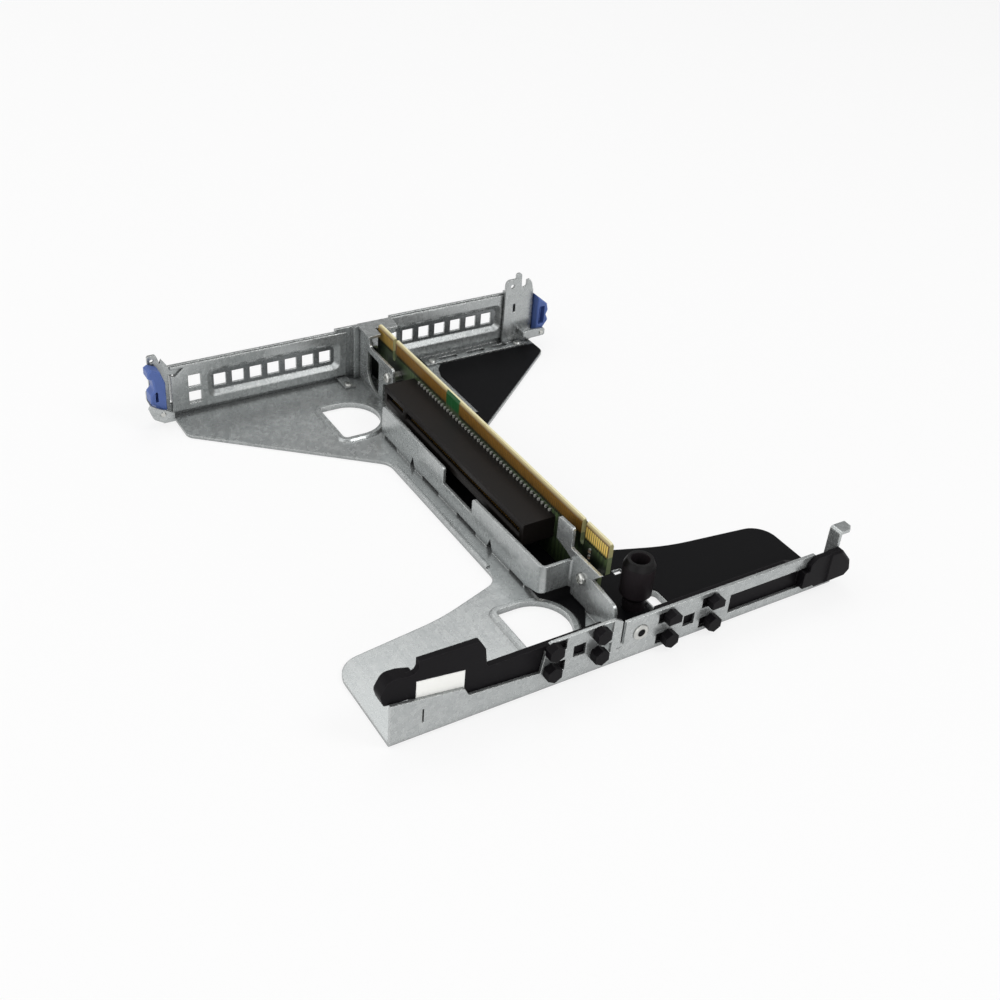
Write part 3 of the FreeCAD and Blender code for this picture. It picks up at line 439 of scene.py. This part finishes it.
# %% Gold fingers
# Where the painted light on the front fingers ends, where the painted shade of the long rows ends, and
# the fade.
LIT_FINGERS_END = -54.5 * MM
SHADED_ROWS_END = 64.0 * MM
LIGHT_FADE = 0.6 * MM
BROWN_SPAN = (19.2 * MM, 23.6 * MM)
COVERED_SPAN = (MASK_TOP - 0.4 * MM, MASK_TOP + 0.8 * MM)
gold = Finish("gold_plate")
finger_along = gold.axis("Y")
finger_height = gold.axis("Z")
grime = gold.noise(260.0, 3.0)
# Painted light and shade: front fingers painted lit yellow, the long rows painted shaded brown.
shaded_rows = gold.ramp(finger_along, LIT_FINGERS_END - LIGHT_FADE, LIT_FINGERS_END)
rear_end = gold.ramp(finger_along, SHADED_ROWS_END, SHADED_ROWS_END + LIGHT_FADE)
bare = gold.ramp(finger_height, *COVERED_SPAN)
yellow = gold.blend(grime, rgb(248, 208, 98), rgb(255, 232, 138))
brown = gold.blend(gold.ramp(finger_height, *BROWN_SPAN), rgb(84, 62, 24), rgb(146, 108, 42))
brown = gold.blend(grime, brown, rgb(150, 108, 40))
plating = gold.blend(shaded_rows - 0.3 * rear_end, yellow, brown)
gold.surface(
    Base_Color=gold.blend(bare, rgb(24, 28, 18), plating),
    Roughness=0.34 + 0.12 * grime,
    Metallic=0.45,
)
dress(gold, "left_edge_contacts", "right_edge_contacts")

# %% [markdown]
# ## Spring contacts
# The contacts inside the slots are gold, but their tails, next to the board, are tinned for soldering.
# Both are one solid, so the distance from the middle of the board tells which metal a place has.

# %% Spring contacts
BOARD_MIDDLE = 4.45 * MM
TAIL_REACH = 2.2 * MM
spring = Finish("gold_and_tin")
across = spring.axis("X") - BOARD_MIDDLE
tinned = 1.0 - spring.ramp(across * across, TAIL_REACH ** 2, 1.2 * TAIL_REACH ** 2)
spring_grain = spring.noise(500.0)
spring_gold = spring.blend(spring_grain, rgb(112, 86, 38), rgb(146, 116, 58))
spring_tin = spring.blend(spring_grain, rgb(198, 198, 192), rgb(232, 232, 226))
spring.surface(
    Base_Color=spring.blend(tinned, spring_gold, spring_tin),
    Roughness=0.28 + 0.14 * spring_grain,
    Metallic=0.7,
)
dress(spring, "left_slot_contacts", "right_slot_contacts")

# %% [markdown]
# ## Mouldings, film and label
# Injection-moulded plastic is never one flat colour: the tool's fine spark texture catches light, and
# handled places are a little smoother. One rule serves all the plastics, the film and the bare label,
# because they differ only in numbers: a dark and a light tone mixed by noise, a fine bump, and edges
# that are softened and given a painted highlight, a little paler. Black plastic looks grey under white
# light if it mirrors too much, so each has its own specular level. The guide post's top is painted
# darker, as painted shade, with no edge highlight, so a moulding may also have a tone for what faces up.

# %% The rule for a moulding
MOULDED_EDGE = 0.4 * MM
FACES_UP = (0.1, 0.5)
# How much paler the painted edge highlight is than the light tone.
HIGHLIGHT_TIMES, HIGHLIGHT_PLUS = 1.8, 0.022


def moulding(name, dark, light, rough, shine, grain, depth, top=None):
    """Moulded plastic: two tones, spark-eroded grain, uneven gloss, edges with a painted highlight, top
    with painted shade.
    """
    plastic = Finish(name)
    soft = plastic.softened(MOULDED_EDGE)
    speckle = plastic.noise(grain, 2.0)
    slow = plastic.noise(70.0, 3.0)
    body = plastic.blend(slow, dark, light)
    # Painted highlight: edges are painted paler.
    edge_highlight = 0.6 * plastic.sharp_edges(soft)
    if top:
        # Painted shade: faces that look up take the darker top tone and lose the edge highlight.
        upward = plastic.ramp(plastic.facing("Z"), *FACES_UP)
        body = plastic.blend(upward, body, top)
        edge_highlight = edge_highlight * (1.0 - upward)
    pale = [min(1.0, HIGHLIGHT_TIMES * channel + HIGHLIGHT_PLUS) for channel in light[:3]] + [1.0]
    plastic.surface(
        Base_Color=plastic.blend(edge_highlight, body, pale),
        Roughness=rough - 0.08 + 0.16 * slow,
        Specular_IOR_Level=shine,
        Normal=plastic.bump(speckle, depth, soft),
    )
    return plastic


# %% Mouldings, film and label
slot_black = moulding("slot_moulding", rgb(14, 12, 11), rgb(25, 21, 19),
                      rough=0.46, shine=0.18, grain=2600.0, depth=0.02 * MM)
black = moulding("black_moulding", rgb(10, 9, 11), rgb(19, 17, 20),
                 rough=0.50, shine=0.09, grain=2200.0, depth=0.03 * MM)
blue = moulding("blue_moulding", rgb(60, 83, 144), rgb(90, 113, 174),
                rough=0.42, shine=0.38, grain=2200.0, depth=0.02 * MM)
# The post's top tone is painted shade.
post_black = moulding("post_moulding", rgb(30, 26, 28), rgb(46, 41, 44),
                      rough=0.44, shine=0.20, grain=2200.0, depth=0.03 * MM, top=rgb(8, 7, 8))
film = moulding("insulating_film", rgb(9, 9, 11), rgb(16, 16, 18),
                rough=0.58, shine=0.09, grain=1400.0, depth=0.02 * MM)
label = moulding("blank_label", rgb(243, 243, 238), rgb(252, 252, 249),
                 rough=0.55, shine=0.25, grain=3000.0, depth=0.01 * MM)
ceramic = moulding("chip_ceramic", rgb(112, 92, 72), rgb(150, 126, 98),
                   rough=0.40, shine=0.40, grain=2500.0, depth=0.01 * MM)
dress(slot_black, "left_slot_housing", "right_slot_housing")
dress(black, "left_card_holder", "right_card_holder")
dress(post_black, "guide_post")
dress(blue, "left_latch", "right_latch")
dress(film, "front_film", "rear_film")
dress(label, "holder_label")
dress(ceramic, "board_capacitors")

# %% [markdown]
# ## Growing what repeats
# Solder joints and chips are small and many. They could be copied one by one in Python, but a Geometry
# Nodes tree says the rule once: a shape, the points it sits on, and sizes as named inputs. `grow` gives
# a tree its points, in millimetres, and its sizes, and keeps the result as a plain mesh.

# %% A helper for geometry trees
class Growth(Graph):
    """A Geometry Nodes tree with named inputs, which starts from points."""

    def __init__(self, name):
        super().__init__(bpy.data.node_groups.new(name, "GeometryNodeTree"))
        self.keys = {}
        self.source = self.tree.nodes.new("NodeGroupInput")
        self.sink = self.tree.nodes.new("NodeGroupOutput")
        self.tree.interface.new_socket("Result", in_out="OUTPUT", socket_type="NodeSocketGeometry")
        self.points = self.input("Points", "NodeSocketGeometry")

    def input(self, name, kind):
        """Add a named input and return its signal."""
        item = self.tree.interface.new_socket(name, in_out="INPUT", socket_type=kind)
        self.keys[name] = item.identifier
        return Signal(self, next(s for s in self.source.outputs if s.identifier == item.identifier))

    def vector(self, x=0.0, y=0.0, z=0.0):
        """A vector from three numbers or signals."""
        return self.node("ShaderNodeCombineXYZ", inputs={"X": x, "Y": y, "Z": z})

    def moved(self, shape, translation=(0, 0, 0), scale=(1, 1, 1)):
        """A shape shifted and scaled."""
        sockets = {"Geometry": shape, "Translation": translation, "Scale": scale}
        return self.node("GeometryNodeTransform", inputs=sockets)

    def joined(self, *shapes):
        """Several shapes as one."""
        knot = self.tree.nodes.new("GeometryNodeJoinGeometry")
        for shape in reversed(shapes):
            self.tree.links.new(shape.socket, knot.inputs[0])
        return Signal(self, knot.outputs[0])

    def spread(self, points, shape):
        """A shape on every point, as real faces."""
        many = self.node("GeometryNodeInstanceOnPoints", inputs={"Points": points, "Instance": shape})
        return self.node("GeometryNodeRealizeInstances", inputs={"Geometry": many})

    def coated(self, shape, material):
        """A shape with a material."""
        return self.node("GeometryNodeSetMaterial", inputs={"Geometry": shape, "Material": material})

    def finish(self, shape):
        """Hand the shape over as the tree's result."""
        self.feed(self.sink.inputs[0], shape)


# %% Running a tree
def grow(name, growth, points, sizes):
    """Run a tree on points in millimetres and return a plain mesh object."""
    seed_mesh = bpy.data.meshes.new(name + "_points")
    seed_mesh.from_pydata([[c * MM for c in point] for point in points], [], [])
    seed = bpy.data.objects.new(name + "_points", seed_mesh)
    bpy.context.collection.objects.link(seed)
    modifier = seed.modifiers.new("growth", "NODES")
    modifier.node_group = growth.tree
    for key, value in sizes.items():
        modifier[growth.keys[key]] = value
    view = bpy.context.evaluated_depsgraph_get()
    mesh = bpy.data.meshes.new_from_object(seed.evaluated_get(view))
    bpy.data.objects.remove(seed)
    piece = bpy.data.objects.new(name, mesh)
    bpy.context.collection.objects.link(piece)
    print(name, "faces", len(mesh.polygons))
    return piece


# %% [markdown]
# ## Solder joints
# Each contact's tail ends in a bead of solder on the board, in two rows on each face. The tree draws one
# row as a line of points, puts a row at each of four starts, and sits a bead with a wire end on every
# point. Low-sided balls do, because a joint is only half a millimetre across.

# %% The tree for rows of solder joints
BEAD_SIDES, BEAD_RINGS = 9, 5
BEAD_SHAPE = (0.9, 1.0, 0.85)
WIRE_SHAPE = (3.0, 1.0, 1.0)
joint_tree = Growth("solder_rows")
count = joint_tree.input("Count", "NodeSocketInt")
pitch = joint_tree.input("Pitch", "NodeSocketFloat")
radius = joint_tree.input("Bead radius", "NodeSocketFloat")
wire = joint_tree.input("Wire radius", "NodeSocketFloat")
tin = joint_tree.input("Tin", "NodeSocketMaterial")
row = joint_tree.node("GeometryNodeMeshLine", {"mode": "OFFSET"},
                      {"Count": count, "Offset": joint_tree.vector(y=pitch)})
rows = joint_tree.spread(joint_tree.points, row)
bead = joint_tree.node("GeometryNodeMeshUVSphere",
                       inputs={"Segments": BEAD_SIDES, "Rings": BEAD_RINGS, "Radius": radius})
bead = joint_tree.moved(bead, scale=BEAD_SHAPE)
stub = joint_tree.node("GeometryNodeMeshIcoSphere", inputs={"Radius": wire, "Subdivisions": 1})
stub = joint_tree.moved(stub, scale=WIRE_SHAPE)
joint_tree.finish(joint_tree.coated(joint_tree.spread(rows, joint_tree.joined(bead, stub)), tin))
print("inputs of the solder tree:", ", ".join(joint_tree.keys))

# %% Solder joints
FACE_LEFT, FACE_RIGHT = 3.65, 5.25
TAIL_START = -36.925
TAIL_COUNT = 42
TAIL_PITCH = 2.0 * MM
BEAD_RADIUS = 0.24 * MM
WIRE_RADIUS = 0.14 * MM
ROWS_LEFT = (17.42, 9.18)
ROWS_RIGHT = (11.32, 3.08)
solder = Finish("solder")
solder_cloud = solder.noise(700.0)
solder.surface(
    Base_Color=solder.blend(solder_cloud, rgb(140, 141, 136), rgb(196, 196, 190)),
    Roughness=0.20 + 0.20 * solder_cloud,
    Metallic=0.75,
)
starts = [(FACE_LEFT, TAIL_START, z) for z in ROWS_LEFT]
starts += [(FACE_RIGHT, TAIL_START, z) for z in ROWS_RIGHT]
joints = grow("solder_joints", joint_tree, starts, {
    "Count": TAIL_COUNT,
    "Pitch": TAIL_PITCH,
    "Bead radius": BEAD_RADIUS,
    "Wire radius": WIRE_RADIUS,
    "Tin": solder.material,
})
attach(joints, "frame")

# %% [markdown]
# ## Chip capacitors
# A chip is a ceramic body between two tinned ends, which stand a hair proud of it and leave a fillet on
# the board. They could be four hand-placed boxes, but one tree makes bodies and ends from the same
# points, so the two always line up.

# %% The tree for chips
BODY_OUT, BODY_WIDE, BODY_LONG = 1.86, 0.92, 0.9
CAP_OUT, CAP_LONG = 2.0, 0.24
CAP_SHIFT = 0.38
FILLET_RADIUS = 0.62
FILLET_SHAPE = (0.5, 1.0, 0.55)
FILLET_SHIFT = 0.10
chip_tree = Growth("chips")
chip_long = chip_tree.input("Length", "NodeSocketFloat")
chip_wide = chip_tree.input("Width", "NodeSocketFloat")
chip_out = chip_tree.input("Height", "NodeSocketFloat")
chip_body = chip_tree.input("Ceramic", "NodeSocketMaterial")
chip_ends = chip_tree.input("Tin", "NodeSocketMaterial")
body_size = chip_tree.vector(BODY_OUT * chip_out, BODY_WIDE * chip_wide, BODY_LONG * chip_long)
middle = chip_tree.node("GeometryNodeMeshCube", inputs={"Size": body_size, "Vertices Y": 3})
cap_size = chip_tree.vector(CAP_OUT * chip_out, chip_wide, CAP_LONG * chip_long)
cap = chip_tree.node("GeometryNodeMeshCube", inputs={"Size": cap_size})
fillet = chip_tree.node("GeometryNodeMeshIcoSphere",
                        inputs={"Radius": FILLET_RADIUS * chip_wide, "Subdivisions": 2})
fillet = chip_tree.moved(fillet, scale=FILLET_SHAPE)
end = chip_tree.joined(cap, chip_tree.moved(fillet, chip_tree.vector(z=FILLET_SHIFT * chip_long)))
turned = chip_tree.moved(end, scale=(-1, 1, -1))
upper = chip_tree.moved(end, chip_tree.vector(z=CAP_SHIFT * chip_long))
lower = chip_tree.moved(turned, chip_tree.vector(z=-CAP_SHIFT * chip_long))
bodies = chip_tree.coated(chip_tree.spread(chip_tree.points, middle), chip_body)
ends = chip_tree.coated(chip_tree.spread(chip_tree.points, chip_tree.joined(upper, lower)), chip_ends)
chip_tree.finish(chip_tree.joined(bodies, ends))
print("inputs of the chip tree:", ", ".join(chip_tree.keys))

# %% Chip capacitors
CHIP_PLACES = [(-58.225, 16.6), (-58.225, 14.4), (52.775, 10.4), (54.975, 10.4)]
CHIP_LENGTH = 1.3 * MM
CHIP_WIDTH = 0.8 * MM
CHIP_HEIGHT = 0.45 * MM
chips = grow("chips", chip_tree, [(FACE_LEFT, y, z) for y, z in CHIP_PLACES], {
    "Length": CHIP_LENGTH,
    "Width": CHIP_WIDTH,
    "Height": CHIP_HEIGHT,
    "Ceramic": ceramic.material,
    "Tin": solder.material,
})
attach(chips, "frame")
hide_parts("board_capacitors")

# %% [markdown]
# ## Board screws
# Two domed screws hold the board. A ball cut by two boxes would make such a head, but cutting leaves
# ragged faces. A head is a rule in two directions, how far from the middle and at which angle, so it is
# made as rings of points: the dome falls towards the rim, and a cross is pressed in where a point lies
# near one of two lines.

# %% The rule for a screw head
SCREW_SEAT = -0.85
SCREW_TOP = 1.3
SCREW_RADIUS = 1.9
DOME_FALL = 0.25
RIM_FALL = 0.35
CROSS_HALF = 0.26
CROSS_LONG = 1.15
CROSS_DEEP = 0.55


def head_height(u, v):
    """How far a screw head stands out at a place on it, in millimetres."""
    far = math.hypot(u, v) / SCREW_RADIUS
    dome = SCREW_TOP * (1 - DOME_FALL * far ** 2 - RIM_FALL * far ** 8)
    in_cross = min(abs(u), abs(v)) < CROSS_HALF and max(abs(u), abs(v)) < CROSS_LONG
    return dome - CROSS_DEEP if in_cross else dome


print("a head stands", SCREW_TOP, "mm out, and", round(head_height(0, SCREW_RADIUS), 2), "at its rim")

# %% Board screws
SCREW_PLACES = [(-61.725, 10.5), (59.775, 12.6)]
SHANK_RADIUS = 0.95
SHANK_END = 4.3
RINGS = 14
SPOKES = 48


def add_screw(shape, y, z):
    """Add one screw to a bmesh, its head towards -x."""
    def ring(radius, x_of):
        points = []
        for k in range(SPOKES):
            angle = 2 * math.pi * (k + 0.5) / SPOKES
            u, v = radius * math.cos(angle), radius * math.sin(angle)
            points.append(shape.verts.new((x_of(u, v) * MM, (y + u) * MM, (z + v) * MM)))
        return points

    def outward(u, v):
        return SCREW_SEAT - head_height(u, v)

    rings = [ring(SCREW_RADIUS * (i + 1) / RINGS, outward) for i in range(RINGS)]
    rings.append(ring(SCREW_RADIUS, lambda u, v: SCREW_SEAT))
    rings.append(ring(SHANK_RADIUS, lambda u, v: SCREW_SEAT))
    rings.append(ring(SHANK_RADIUS, lambda u, v: SHANK_END))
    shape.faces.new(rings[0])
    shape.faces.new(rings[-1])
    for inner, outer in zip(rings, rings[1:]):
        for k in range(SPOKES):
            shape.faces.new((inner[k - 1], inner[k], outer[k], outer[k - 1]))


screw_shape = bmesh.new()
for y, z in SCREW_PLACES:
    add_screw(screw_shape, y, z)
bmesh.ops.recalc_face_normals(screw_shape, faces=screw_shape.faces)
screw_mesh = bpy.data.meshes.new("cross_screws")
screw_shape.to_mesh(screw_mesh)
screw_shape.free()
screw_mesh.materials.append(plated.material)
screws = bpy.data.objects.new("cross_screws", screw_mesh)
bpy.context.collection.objects.link(screws)
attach(screws, "frame")
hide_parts("board_screws")
print("screws", len(SCREW_PLACES), "faces", len(screw_mesh.polygons))

# %% [markdown]
# ## The studio floor
# The photograph's background is plain white. A flat floor would end in a horizon when it is seen from
# low down, so this one curves up into a low wall, as a studio's paper roll does. Its own colour is pale,
# and camera and mirror rays see most of it as plain white, so that the steel reflects a white room while
# the object still leaves a soft shadow.

# %% The studio floor
FLOOR_RADIUS = 2.4
FLOOR_DROP = 0.2 * MM
FLOOR_SPOKES = 96
COVE_RADIUS = 0.8
COVE_STEPS = 12
WALL_TOP = 1.0


def studio_floor(name):
    """A round floor that curves up into a low wall, so that no horizon shows."""
    turns = [math.pi / 2 * step / COVE_STEPS for step in range(COVE_STEPS + 1)]
    profile = [(FLOOR_RADIUS + COVE_RADIUS * math.sin(t), COVE_RADIUS * (1 - math.cos(t))) for t in turns]
    profile.append((FLOOR_RADIUS + COVE_RADIUS, WALL_TOP))
    angles = [2 * math.pi * k / FLOOR_SPOKES for k in range(FLOOR_SPOKES)]
    shape = bmesh.new()
    rings = []
    for reach, rise in profile:
        level = rise - FLOOR_DROP
        rings.append([shape.verts.new((reach * math.cos(a), reach * math.sin(a), level)) for a in angles])
    shape.faces.new(rings[0])
    for lower_ring, upper_ring in zip(rings, rings[1:]):
        for k in range(FLOOR_SPOKES):
            corners = (lower_ring[k - 1], lower_ring[k], upper_ring[k], upper_ring[k - 1])
            shape.faces.new(corners).smooth = True
    mesh = bpy.data.meshes.new(name)
    shape.to_mesh(mesh)
    shape.free()
    made = bpy.data.objects.new(name, mesh)
    bpy.context.collection.objects.link(made)
    return made


floor = studio_floor("floor")
print("floor faces", len(floor.data.polygons))

# %% The floor's paper
GLOW_SHARE = 0.8
PAPER_COLOUR = (0.9, 0.9, 0.9, 1.0)
paper = Finish("pale_floor")
paper.surface(Base_Color=PAPER_COLOUR, Roughness=0.9)
seen = paper.node("ShaderNodeLightPath", output="Is Camera Ray")
mirrored = paper.node("ShaderNodeLightPath", output="Is Glossy Ray")
lit = Signal(paper, paper.shader.outputs[0])
glow = paper.node("ShaderNodeEmission", inputs={"Strength": 1.0})
shown = paper.node("ShaderNodeMixShader", inputs={0: GLOW_SHARE * seen.larger(mirrored), 1: lit, 2: glow})
paper.feed(paper.tree.nodes["Material Output"].inputs["Surface"], shown)
floor.data.materials.append(paper.material)
print("share of the floor that shows as white", GLOW_SHARE)

# %% [markdown]
# ## Room and lamps
# The light in the photograph is soft and comes from all round. A panorama picture could give that, but
# a graded room and a few lamps are easier to steer. The room is brighter overhead than near the horizon,
# which shades a flat plate from front to back. Large soft lamps stand in front and on the left, two
# smaller ones behind and at the rear left, and a small one at the front right picks out the pressed
# ridges.

# %% The room
HORIZON = 0.25
OVERHEAD = 0.58
RISE = (0.52, 0.78)
world = bpy.data.worlds.new("studio")
bpy.context.scene.world = world
world.use_nodes = True
room = Graph(world.node_tree)
direction = room.node("ShaderNodeTexCoord", output="Generated")
elevation = room.node("ShaderNodeSeparateXYZ", inputs={"Vector": direction}, output="Z")
background = world.node_tree.nodes["Background"]
background.inputs["Color"].default_value = (1, 1, 1, 1)
room.feed(background.inputs["Strength"], HORIZON + (OVERHEAD - HORIZON) * room.ramp(elevation, *RISE))
print("room light from", HORIZON, "to", OVERHEAD)

# %% The lamps
LAMPS = {
    "front": ((-0.25, -1.0, 0.35), 0.9, 3.4),
    "left": ((-1.0, 0.05, 0.5), 1.2, 5.2),
    "behind": ((0.3, 0.55, 1.0), 0.6, 2.1),
    "rear_left": ((-0.6, 0.75, 0.75), 0.5, 1.2),
    "ridge": ((0.5, -0.6, 0.9), 0.4, 2.8),
}


def softbox(name, place, size, watts):
    """Square lamp that faces the object."""
    lamp = bpy.data.objects.new(name, bpy.data.lights.new(name, "AREA"))
    lamp.data.size = size
    lamp.data.energy = watts
    lamp.location = place
    lamp.rotation_euler = (-Vector(place)).to_track_quat("-Z", "Y").to_euler()
    bpy.context.collection.objects.link(lamp)


for lamp_name, (place, size, watts) in LAMPS.items():
    softbox(lamp_name, place, size, watts)
print("lamps", ", ".join(LAMPS))
